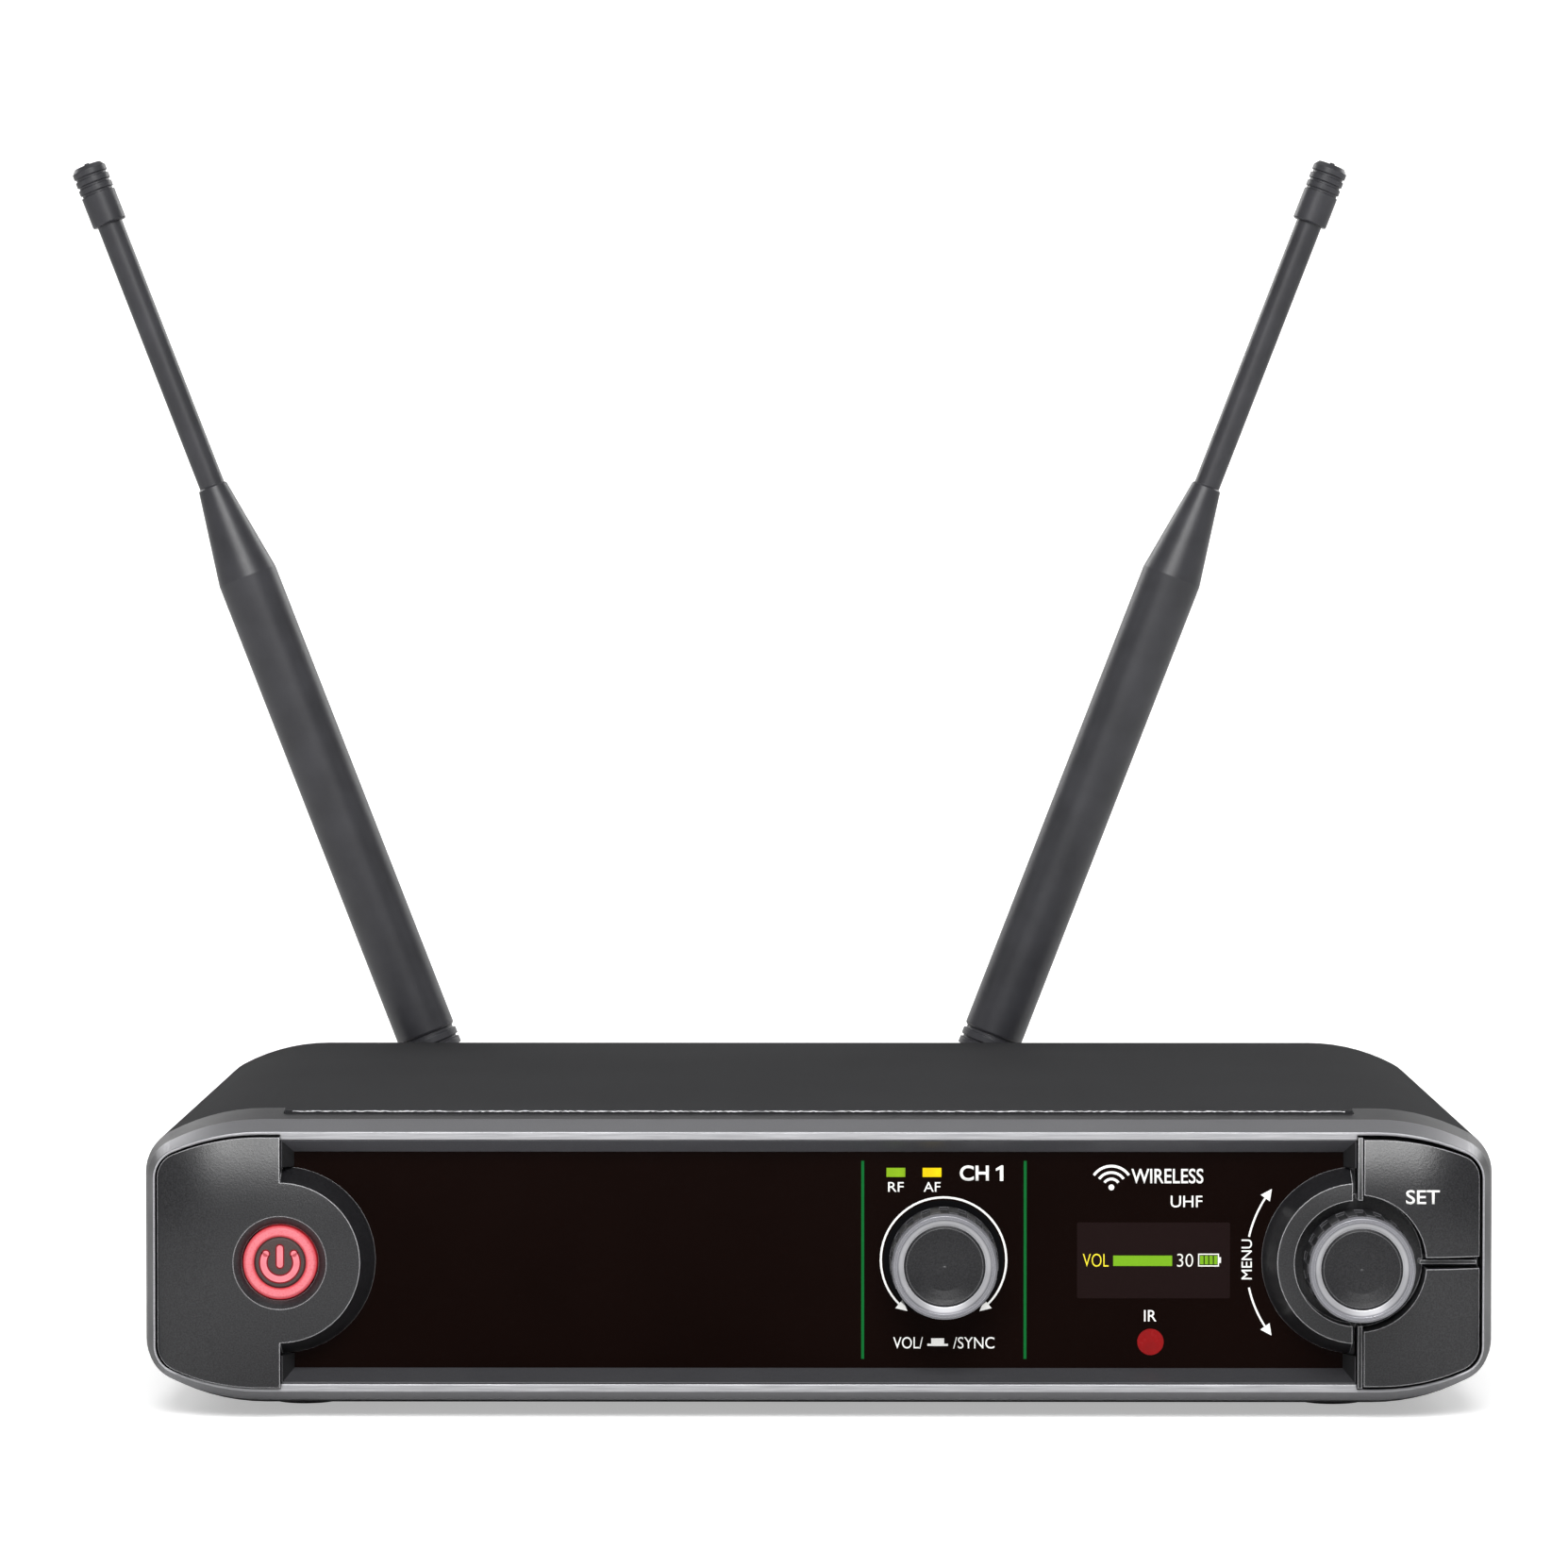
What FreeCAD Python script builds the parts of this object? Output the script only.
"""Wireless microphone receiver: a half-rack table-top case with two folding whip antennas.

Frame: +X to the right as the user faces the front, +Y towards the rear, +Z up.
Origin: on the table, below the centre of the case.  Millimetres.
"""
import FreeCAD, Part
import Sketcher
import math
import os
from FreeCAD import Placement, Rotation, Vector

doc = FreeCAD.newDocument("wireless_receiver")

# ---------------------------------------------------------------- driving dimensions
DIMENSIONS = [
    ("case_width", 210.0, "case, side to side"),
    ("case_height", 46.0, "case, without its feet"),
    ("case_depth", 142.0, "case, front rim to rear edge"),
    ("foot_height", 1.5, "feet below the case"),
    ("foot_radius", 5.0, "foot"),
    ("foot_side_inset", 24.0, "foot centre from the case side"),
    ("foot_end_inset", 24.0, "foot centre from the case end"),
    ("shell_wall", 1.2, "steel shells of the case"),
    ("corner_run", 18.7, "case corner, along the width"),
    ("corner_rise", 10.0, "case corner, along the height"),
    ("corner_tight", 7.1, "radius of the corner's tight arc"),
    ("rim_side_inset", 2.1, "front rim inside the case, at the sides"),
    ("rim_top_inset", 2.85, "front rim inside the case, top and bottom"),
    ("trim_depth", 3.6, "metallic trim ring, front to back"),
    ("trim_side_inset", 0.9, "trim ring's back edge inside the case, at the sides"),
    ("trim_top_inset", 1.15, "trim ring's back edge inside the case, top and bottom"),
    ("frame_depth", 10.0, "front frame's visible part ends here"),
    ("spigot_depth", 15.0, "front frame's hidden spigot ends here"),
    ("tongue_reach", 6.6, "cover's front tongue starts here"),
    ("rim_thin", 0.3, "trim rim beside the end pods"),
    ("rim_thick", 0.45, "trim rim above the end pods"),
    ("rim_middle", 1.2, "trim rim above the fascia"),
    ("pod_gap", 0.3, "gap between trim rim and pods"),
    ("control_span", 83.2, "power button and menu knob from the centre line"),
    ("pod_rise", 1.6, "pod face in front of the rim"),
    ("pod_fall", 0.5, "pod face behind the rim at its outer edge"),
    ("pod_base", 7.0, "pods end this far behind the rim"),
    ("disc_radius", 12.4, "pod disc at its face"),
    ("skirt_radius", 14.5, "pod disc's skirt at the window"),
    ("fascia_step", 0.3, "fascia edge behind the rim"),
    ("window_depth", 3.4, "window surface behind the rim"),
    ("window_thick", 1.5, "window panel"),
    ("window_half_width", 81.3, "visible window"),
    ("window_half_height", 16.8, "visible window"),
    ("window_lap", 0.7, "window panel hidden under the bevel"),
    ("fascia_back", 7.0, "fascia carrier ends this far behind the rim"),
    ("volume_x", 19.4, "volume knob from the centre line"),
    ("knob_radius", 8.45, "knurled knob skirt"),
    ("knob_ring_radius", 8.15, "silver knob ring"),
    ("knob_ring_bore", 7.1, "silver knob ring, inside its bevel"),
    ("knob_cap_radius", 6.3, "knob cap"),
    ("knob_height", 8.9, "knob, base to front"),
    ("knob_ribs", 18, "ribs round the knob"),
    ("volume_knob_base", 2.4, "volume knob's base behind the rim"),
    ("menu_knob_base", -1.5, "menu knob's base behind the rim"),
    ("well_radius", 9.75, "well round the menu knob"),
    ("well_depth", 3.0, "floor of the well behind the rim"),
    ("shaft_radius", 3.0, "encoder shafts"),
    ("running_gap", 0.06, "radial gap of every turning fit"),
    ("button_gap", 0.25, "gap round the push buttons"),
    ("button_travel", 0.6, "push button travel"),
    ("knob_travel", 0.6, "volume knob push travel"),
    ("power_well_radius", 7.2, "dish round the power button"),
    ("power_ring_radius", 5.7, "light ring, outside"),
    ("power_cap_radius", 4.0, "power button cap"),
    ("board_thick", 1.6, "circuit boards"),
    ("front_board_depth", 17.0, "front board's face behind the rim"),
    ("display_x", 51.9, "display centre"),
    ("display_width", 27.0, "display module"),
    ("display_height", 14.5, "display module"),
    ("indicator_width", 2.9, "indicator light pipe"),
    ("indicator_height", 1.4, "indicator light pipe"),
    ("indicator_z", 13.6, "indicators above the case centre"),
    ("radio_led_x", 12.0, "radio indicator"),
    ("audio_led_x", 17.6, "audio indicator"),
    ("infrared_radius", 2.05, "infrared lens"),
    ("infrared_x", 51.5, "infrared lens"),
    ("infrared_z", -12.75, "infrared lens above the case centre"),
    ("rear_recess", 1.0, "rear panel inside the case's rear edge"),
    ("rear_thick", 2.0, "rear panel"),
    ("antenna_left_x", -65.5, "left antenna pivot"),
    ("antenna_right_x", 26.8, "right antenna pivot"),
    ("antenna_z", 13.0, "antenna pivots above the case centre"),
    ("antenna_reach", 10.0, "antenna pivots behind the rear panel"),
    ("antenna_lean", 21.2, "antennas lean outward, degrees"),
    ("pin_radius", 1.25, "antenna hinge pin"),
    ("sleeve_radius", 5.3, "antenna sleeve"),
    ("rod_radius", 2.27, "antenna rod"),
    ("tip_radius", 3.05, "antenna tip cap"),
    ("socket_bore", 3.0, "antenna elbow's shaft"),
    ("output_x", 62.0, "balanced output"),
    ("output_z", -3.0, "balanced output above the case centre"),
    ("output_radius", 9.6, "balanced output barrel"),
    ("jack_x", -8.0, "jack output"),
    ("rear_row_z", -6.0, "jack, trimmer and inlet above the case centre"),
    ("jack_bore", 3.2, "jack bore radius"),
    ("trimmer_x", -32.0, "level trimmer"),
    ("inlet_x", -80.0, "power inlet"),
    ("hair", 0.05, "hairline gap between parts that nearly touch"),
    ("slip", 0.1, "gap between parts that slip together"),
    ("carrier_thick", 2.0, "carrier plate behind the fascia"),
    ("light_gap", 0.03, "gap round the light pipes and the lens"),
    ("button_x", 93.7, "set and lower buttons' switches from the centre line"),
    ("button_z", 10.0, "set and lower buttons' switches above and below the centre"),
    ("post_radius", 1.5, "posts behind the set and lower buttons"),
    ("post_hole", 1.8, "holes for those posts"),
    ("divider_half", 0.35, "half the width of the upright bars between pod and buttons"),
    ("rib_half", 0.3, "half the height of the rib between the two buttons"),
    ("switch_reach", 4.3, "buttons' posts end this far before the front board"),
    ("seat_depth", 1.5, "ring and cap are let into a knob this deep"),
    ("knob_roof", 2.5, "knob's front behind which its shaft ends"),
    ("stem_radius", 2.0, "volume encoder's plunger"),
    ("bush_radius", 4.5, "threaded bushes of encoders and rear sockets"),
    ("screw_radius", 1.3, "screw shanks"),
    ("screw_hole", 1.5, "screw clearance holes"),
    ("screw_head_radius", 2.5, "screw heads"),
    ("screw_head_height", 1.4, "screw heads"),
    ("tab_x", 88.0, "shells' rear tabs from the centre line"),
    ("tab_z", 16.5, "tab screws above and below the case centre"),
    ("pillar_radius", 2.8, "board standoffs"),
    ("pillar_height", 6.0, "board standoffs"),
    ("output_flange", 1.5, "balanced output's flange"),
    ("output_screw_x", 11.0, "balanced output's screws from its centre"),
    ("output_screw_z", 9.0, "balanced output's screws above and below its centre"),
    ("barrel_wall", 1.1, "balanced output's barrel"),
    ("tang_half", 1.95, "half the thickness of the antenna's tang"),
    ("fork_half", 4.2, "half the width of the antenna's fork"),
]


def fill_sheet():
    """Put the driving dimensions in a spreadsheet, one named cell each."""
    sheet = doc.addObject("Spreadsheet::Sheet", "Sizes")
    for row, (alias, value, meaning) in enumerate(DIMENSIONS, start=1):
        sheet.set(f"A{row}", meaning)
        sheet.set(f"B{row}", str(value))
        sheet.setAlias(f"B{row}", alias)
    doc.recompute()
    return sheet


sheet = fill_sheet()


class Length:
    """A number and the spreadsheet expression it comes from, kept together."""

    def __init__(self, text, value):
        self.text = text
        self.value = float(value)

    def _with(self, other, sign, result):
        return Length(f"({self.text} {sign} {as_length(other).text})", result)

    def __add__(self, other):
        return self._with(other, "+", self.value + as_length(other).value)

    def __sub__(self, other):
        return self._with(other, "-", self.value - as_length(other).value)

    def __mul__(self, other):
        return self._with(other, "*", self.value * as_length(other).value)

    def __truediv__(self, other):
        return self._with(other, "/", self.value / as_length(other).value)

    def __neg__(self):
        return Length(f"(0 - {self.text})", -self.value)

    def __radd__(self, other):
        return as_length(other) + self

    def __rsub__(self, other):
        return as_length(other) - self


def as_length(value):
    return value if isinstance(value, Length) else Length(repr(float(value)), value)


def size(alias):
    """The named dimension from the spreadsheet."""
    return Length(f"Sizes.{alias}", sheet.get(alias))


def bind(thing, prop, length):
    """Set a property to a length and keep it bound to the spreadsheet."""
    thing.setExpression(prop, as_length(length).text)


# ---------------------------------------------------------------- sketching helpers
ORIGIN = -1
TINY = 1e-6
FRONT_TURN = Rotation(Vector(1, 0, 0), 90)


def place_point(sketch, item, end, x=None, y=None):
    """Fix one point of a sketch item at (x, y) from the sketch's origin, or on one axis only."""
    for kind, axis, length in (("DistanceX", -2, x), ("DistanceY", -1, y)):
        if length is None:
            continue
        length = as_length(length)
        if abs(length.value) < TINY:
            sketch.addConstraint(Sketcher.Constraint("PointOnObject", item, end, axis))
            continue
        ends = (ORIGIN, 1, item, end) if length.value > 0 else (item, end, ORIGIN, 1)
        index = sketch.addConstraint(Sketcher.Constraint(kind, *ends, abs(length.value)))
        bind(sketch, f"Constraints[{index}]", length if length.value > 0 else -length)


def draw_polygon(sketch, points):
    """A closed outline of straight lines through points given as (x, y)."""
    corners = [Vector(as_length(x).value, as_length(y).value, 0) for x, y in points]
    first = sketch.GeometryCount
    count = len(corners)
    for index, corner in enumerate(corners):
        sketch.addGeometry(Part.LineSegment(corner, corners[(index + 1) % count]))
    for index, (x, y) in enumerate(points):
        follower = first + (index + 1) % count
        sketch.addConstraint(Sketcher.Constraint("Coincident", first + index, 2, follower, 1))
        place_point(sketch, first + index, 1, x, y)


def draw_circle(sketch, radius, x=0, y=0):
    centre = Vector(as_length(x).value, as_length(y).value, 0)
    item = sketch.addGeometry(Part.Circle(centre, Vector(0, 0, 1), as_length(radius).value))
    place_point(sketch, item, 3, x, y)
    index = sketch.addConstraint(Sketcher.Constraint("Radius", item, as_length(radius).value))
    bind(sketch, f"Constraints[{index}]", radius)


def draw_box(sketch, half_width, half_height, x=0, y=0):
    """A rectangle about (x, y)."""
    x, y = as_length(x), as_length(y)
    left, right, low, high = x - half_width, x + half_width, y - half_height, y + half_height
    draw_polygon(sketch, [(left, low), (right, low), (right, high), (left, high)])


class Outline:
    """The case's section: a wide rectangle whose corners are two tangent arcs each."""

    def __init__(self, side_inset=0, top_inset=0):
        side_inset, top_inset = as_length(side_inset), as_length(top_inset)
        self.half_width = size("case_width") / 2 - side_inset
        self.half_height = size("case_height") / 2 - top_inset
        self.run = size("corner_run") - side_inset
        self.rise = size("corner_rise") - top_inset
        self.tight = size("corner_tight") - (side_inset + top_inset) / 2

    def corner(self, right, top):
        """Both arcs of one corner, from the side to the flat."""
        sx, sy = (1 if right else -1), (1 if top else -1)
        run, rise, tight = self.run.value, self.rise.value, self.tight.value
        wide = ((run - tight) ** 2 + rise ** 2 - tight ** 2) / (2 * (rise - tight))
        near = Vector(sx * (self.half_width.value - tight), sy * (self.half_height.value - rise), 0)
        far = Vector(sx * (self.half_width.value - run), sy * (self.half_height.value - wide), 0)
        joint = math.atan2(near.y - far.y, near.x - far.x)
        side, flat = (0 if right else math.pi), sy * math.pi / 2
        return near, tight, side, joint, far, wide, flat


def add_arc(sketch, centre, radius, start, end):
    """The shorter arc between two directions, and which of its ends each direction is."""
    turn = math.remainder(end - start, 2 * math.pi)
    first, last = (start, start + turn) if turn > 0 else (end, end - turn)
    circle = Part.Circle(centre, Vector(0, 0, 1), radius)
    item = sketch.addGeometry(Part.ArcOfCircle(circle, first, last))
    return item, (1, 2) if turn > 0 else (2, 1)


def draw_corner(sketch, outline, right, top):
    """One corner of the section, with its own dimensions; returns its side and flat ends."""
    near, tight, side, joint, far, wide, flat = outline.corner(right, top)
    small, small_ends = add_arc(sketch, near, tight, side, joint)
    large, large_ends = add_arc(sketch, far, wide, joint, flat)
    sketch.addConstraint(Sketcher.Constraint("Tangent", small, small_ends[1], large, large_ends[0]))
    index = sketch.addConstraint(Sketcher.Constraint("Radius", small, tight))
    bind(sketch, f"Constraints[{index}]", outline.tight)
    sx, sy = (1 if right else -1), (1 if top else -1)
    place_point(sketch, small, small_ends[0], outline.half_width * sx,
                (outline.half_height - outline.rise) * sy)
    place_point(sketch, large, large_ends[1], (outline.half_width - outline.run) * sx,
                outline.half_height * sy)
    return (small, small_ends[0]), (large, large_ends[1])


def join(sketch, start, end):
    """A straight line between two ends: it runs smoothly out of an arc and meets a line's end."""
    points = [sketch.getPoint(*end_point) for end_point in (start, end)]
    line = sketch.addGeometry(Part.LineSegment(*points))
    for line_end, (item, item_end) in ((1, start), (2, end)):
        smooth = isinstance(sketch.Geometry[item], Part.ArcOfCircle)
        kind = "Tangent" if smooth else "Coincident"
        sketch.addConstraint(Sketcher.Constraint(kind, line, line_end, item, item_end))


def draw_outline(sketch, outline):
    """The whole section."""
    corners = {}
    for right in (False, True):
        for top in (False, True):
            corners[right, top] = draw_corner(sketch, outline, right, top)
    for right in (False, True):
        join(sketch, corners[right, False][0], corners[right, True][0])
    for top in (False, True):
        join(sketch, corners[False, top][1], corners[True, top][1])


def draw_end(sketch, outline, right, inner):
    """One end of the section, closed by an upright line at inner."""
    low, high = (draw_corner(sketch, outline, right, top) for top in (False, True))
    join(sketch, low[0], high[0])
    sign = 1 if right else -1
    points = []
    for top_sign in (-1, 1):
        points.append((as_length(inner) * sign, outline.half_height * top_sign))
    corners = [Vector(x.value, y.value, 0) for x, y in points]
    upright = sketch.addGeometry(Part.LineSegment(*corners))
    place_point(sketch, upright, 1, *points[0])
    place_point(sketch, upright, 2, *points[1])
    join(sketch, low[1], (upright, 1))
    join(sketch, high[1], (upright, 2))


# ---------------------------------------------------------------- solid helpers
def front_body(label, x=0, z=0):
    """A body drawn as seen from the front: sketch +z comes out of the front rim."""
    body = doc.addObject("PartDesign::Body", label)
    body.Label = label
    body.Placement = Placement(Vector(0, 0, 0), FRONT_TURN)
    bind(body, "Placement.Base.x", x)
    bind(body, "Placement.Base.y", size("case_depth") / -2)
    bind(body, "Placement.Base.z", size("foot_height") + size("case_height") / 2 + z)
    return body


def origin_plane(body, role):
    return next(item for item in body.Origin.OriginFeatures if item.Role == role)


def new_sketch(body, depth=0, role="XY_Plane"):
    """A sketch on one of the body's own planes, lifted depth along its normal."""
    sketch = body.newObject("Sketcher::SketchObject", "sketch")
    sketch.AttachmentSupport = [(origin_plane(body, role), "")]
    sketch.MapMode = "FlatFace"
    bind(sketch, "AttachmentOffset.Base.z", depth)
    return sketch


def behind(depth):
    """A depth behind the rim, as a height along a front body's +z."""
    return -as_length(depth)


def volume_of(body):
    doc.recompute()
    return body.Shape.Volume


def pad(body, sketch, length):
    """Grow the body from a sketch, away from the front when length is positive."""
    feature = body.newObject("PartDesign::Pad", "pad")
    feature.Profile = sketch
    feature.Reversed = True
    bind(feature, "Length", length)
    return feature


def pocket(body, sketch, length=None):
    """Cut from a sketch towards the rear; with no length it cuts right through."""
    before = volume_of(body)
    feature = body.newObject("PartDesign::Pocket", "pocket")
    feature.Profile = sketch
    if length is None:
        feature.Type = "ThroughAll"
        feature.Midplane = True
    else:
        bind(feature, "Length", length)
    if volume_of(body) >= before - TINY:
        raise ValueError(f"a pocket in {body.Label} cuts nothing")
    return feature


def loft(body, sketches, cut=False):
    """A skin through sketches, added to or cut from the body."""
    kind = "PartDesign::SubtractiveLoft" if cut else "PartDesign::AdditiveLoft"
    feature = body.newObject(kind, "loft")
    feature.Profile = sketches[0]
    feature.Sections = [(sketch, [""]) for sketch in sketches[1:]]
    feature.Ruled = True
    return feature


def turned(body, points, cut=False):
    """A shape turned about the body's Z from a half-section given as (radius, height)."""
    sketch = new_sketch(body, role="XZ_Plane")
    draw_polygon(sketch, points)
    kind = "PartDesign::Groove" if cut else "PartDesign::Revolution"
    feature = body.newObject(kind, "turned")
    feature.Profile = sketch
    feature.ReferenceAxis = (sketch, ["V_Axis"])
    feature.Angle = 360
    return feature


def outline_prism(body, outline, start, end):
    """A solid with the case's section between two depths."""
    sketch = new_sketch(body, behind(start))
    draw_outline(sketch, outline)
    return pad(body, sketch, as_length(end) - start)


def cut_prism(body, draw, start, length=None):
    """A pocket from depth start; draw(sketch) adds its outline."""
    sketch = new_sketch(body, behind(start))
    draw(sketch)
    return pocket(body, sketch, length)


def add_prism(body, draw, start, end):
    sketch = new_sketch(body, behind(start))
    draw(sketch)
    return pad(body, sketch, as_length(end) - start)


def primitive(kind, name, **lengths):
    """A Part primitive with each named property bound."""
    shape = doc.addObject(f"Part::{kind}", name)
    for prop, length in lengths.items():
        bind(shape, prop, length)
    return shape


def put(shape, x, y, z, turn=None):
    """Place a primitive: y from the case's middle, z from the table."""
    if turn:
        shape.Placement = Placement(Vector(0, 0, 0), turn)
    for axis, length in (("x", x), ("y", y), ("z", z)):
        bind(shape, f"Placement.Base.{axis}", length)
    return shape


def box(name, x, y, z, width, depth, height):
    """A box from its middle in x and its lowest y and z."""
    shape = primitive("Box", name, Length=width, Width=depth, Height=height)
    return put(shape, as_length(x) - as_length(width) / 2, y, z)


def rod_along_y(name, x, y, z, radius, length):
    """A cylinder that runs from y towards the rear."""
    shape = primitive("Cylinder", name, Radius=radius, Height=length)
    return put(shape, x, y, z, Rotation(Vector(1, 0, 0), -90))


def upright_rod(name, x, y, z, radius, height):
    return put(primitive("Cylinder", name, Radius=radius, Height=height), x, y, z)


def cut(label, base, tool):
    shape = doc.addObject("Part::Cut", label)
    shape.Base, shape.Tool = base, tool
    return shape


def fuse(label, shapes):
    shape = doc.addObject("Part::MultiFuse", label)
    shape.Shapes = shapes
    return shape


def group(label, shapes):
    """Identical pieces that stay separate solids."""
    shape = doc.addObject("Part::Compound", label)
    shape.Links = shapes
    return shape


# ---------------------------------------------------------------- derived places
half_height = size("case_height") / 2
case_centre = size("foot_height") + half_height
rear_face = size("case_depth") / 2 - size("rear_recess")
rear_inner = rear_face - size("rear_thick")
rear_plate_depth = size("case_depth") - size("rear_recess") - size("rear_thick")
front_rim = -size("case_depth") / 2
control_x = size("control_span")
case_outline = Outline()
rim_outline = Outline(size("rim_side_inset"), size("rim_top_inset"))
trim_outline = Outline(size("trim_side_inset"), size("trim_top_inset"))
hole_outline = Outline(size("rim_side_inset") + size("rim_thin"),
                       size("rim_top_inset") + size("rim_thick"))
pod_outline = Outline(size("rim_side_inset") + size("rim_thin") + size("pod_gap"),
                      size("rim_top_inset") + size("rim_thick") + size("pod_gap"))
fascia_half_width = control_x - 0.1
fascia_half_height = half_height - size("rim_top_inset") - size("rim_middle")


encoder_half_width, encoder_half_height = as_length(6.0), as_length(6.7)
fall_start = control_x + 9
plate_face = size("pod_base") - 2
well_wall = size("well_radius") + 0.6
power_skirt = 2.5


# ---------------------------------------------------------------- front of the case
def front_trim():
    """The metallic ring: a tapered frame, thin round the pods and wider along the fascia."""
    body = front_body("front_trim")
    rim = new_sketch(body)
    draw_outline(rim, rim_outline)
    back = new_sketch(body, behind(size("trim_depth")))
    draw_outline(back, trim_outline)
    loft(body, [rim, back])
    cut_prism(body, lambda sketch: draw_box(sketch, control_x, fascia_half_height), 0)
    for right in (False, True):
        cut_prism(body, lambda sketch: draw_end(sketch, hole_outline, right, control_x), 0)


def front_frame():
    """The dark frame behind the trim, with a spigot inside the shells and a ledge for the cover."""
    body = front_body("front_frame")
    front = new_sketch(body, behind(size("trim_depth")))
    draw_outline(front, trim_outline)
    back = new_sketch(body, behind(size("frame_depth")))
    draw_outline(back, case_outline)
    loft(body, [front, back])
    spigot = Outline(size("shell_wall") + size("slip"), size("shell_wall") + size("slip"))
    outline_prism(body, spigot, size("frame_depth"), size("spigot_depth"))
    cut_prism(body, lambda sketch: draw_outline(sketch, hole_outline), size("trim_depth"))
    ledge = size("shell_wall") + size("hair")
    cut_prism(body, lambda sketch: draw_box(sketch, control_x, ledge, 0, half_height),
              size("tongue_reach"), size("frame_depth") - size("tongue_reach"))


def front_fascia():
    """The carrier plate and the bevelled trough that frames the window."""
    body = front_body("front_fascia")
    back = size("fascia_back")
    carrier = Outline(size("rim_side_inset") + size("rim_thin") + size("slip"),
                      size("rim_top_inset") + size("rim_thick") + size("slip"))
    outline_prism(body, carrier, back, back + size("carrier_thick"))
    add_prism(body, lambda sketch: draw_box(sketch, fascia_half_width,
                                            fascia_half_height - size("hair")),
              size("fascia_step"), back)
    side_lip, top_lip = 0.15, 0.25
    outer = new_sketch(body, behind(size("fascia_step")))
    draw_box(outer, fascia_half_width - side_lip, fascia_half_height - top_lip)
    inner = new_sketch(body, behind(size("window_depth")))
    draw_box(inner, size("window_half_width"), size("window_half_height"))
    loft(body, [outer, inner], cut=True)
    lap = size("window_lap") + size("hair")
    cut_prism(body, lambda sketch: draw_box(sketch, size("window_half_width") + lap,
                                            size("window_half_height") + lap),
              size("window_depth"), back - size("window_depth"))
    room = 0.3
    display_room = (size("display_width") / 2 + room, size("display_height") / 2 + room)
    menu_room, power_room = encoder_half_height + 0.8, size("power_cap_radius") - 0.8
    openings = [(size("volume_x"), -1, 11.0, 13.5), (size("display_x"), 0, *display_room),
                (control_x, 0, menu_room, menu_room), (-control_x, 0, power_room, power_room)]
    for name in ("radio_led_x", "audio_led_x"):
        openings.append((size(name), size("indicator_z"), size("indicator_width") / 2 + room * 2,
                         size("indicator_height") / 2 + room * 2))
    for x, z, half_width, half_tall in openings:
        cut_prism(body, lambda sketch: draw_box(sketch, half_width, half_tall, x, z), back)
    lens_room = size("infrared_radius") + room * 2
    cut_prism(body, lambda sketch: draw_circle(sketch, lens_room, size("infrared_x"),
                                               size("infrared_z")), back)
    for sign in (-1, 1):
        cut_prism(body, lambda sketch: draw_circle(sketch, size("post_hole"), size("button_x"),
                                                   size("button_z") * sign), back)
        cut_prism(body, lambda sketch: draw_circle(sketch, size("skirt_radius") + size("slip"),
                                                   control_x * sign), 0, size("window_depth"))


def display_window():
    """The gloss panel, with holes for the volume shaft, the light pipes and the infrared lens."""
    body = front_body("display_window")
    shaft_hole, pod_hole = size("shaft_radius") + 1, size("well_radius") + 0.15
    gap = size("light_gap")
    add_prism(body, lambda sketch: draw_box(sketch, size("window_half_width") + size("window_lap"),
                                            size("window_half_height") + size("window_lap")),
              size("window_depth"), size("window_depth") + size("window_thick"))
    cut_prism(body, lambda sketch: draw_circle(sketch, shaft_hole, size("volume_x")), 0)
    for x in ("radio_led_x", "audio_led_x"):
        cut_prism(body, lambda sketch: draw_box(sketch, size("indicator_width") / 2 + gap,
                                                size("indicator_height") / 2 + gap,
                                                size(x), size("indicator_z")), 0)
    cut_prism(body, lambda sketch: draw_circle(sketch, size("infrared_radius") + gap,
                                               size("infrared_x"), size("infrared_z")), 0)
    for side in (-1, 1):
        cut_prism(body, lambda sketch: draw_circle(sketch, pod_hole, control_x * side), 0)


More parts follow.
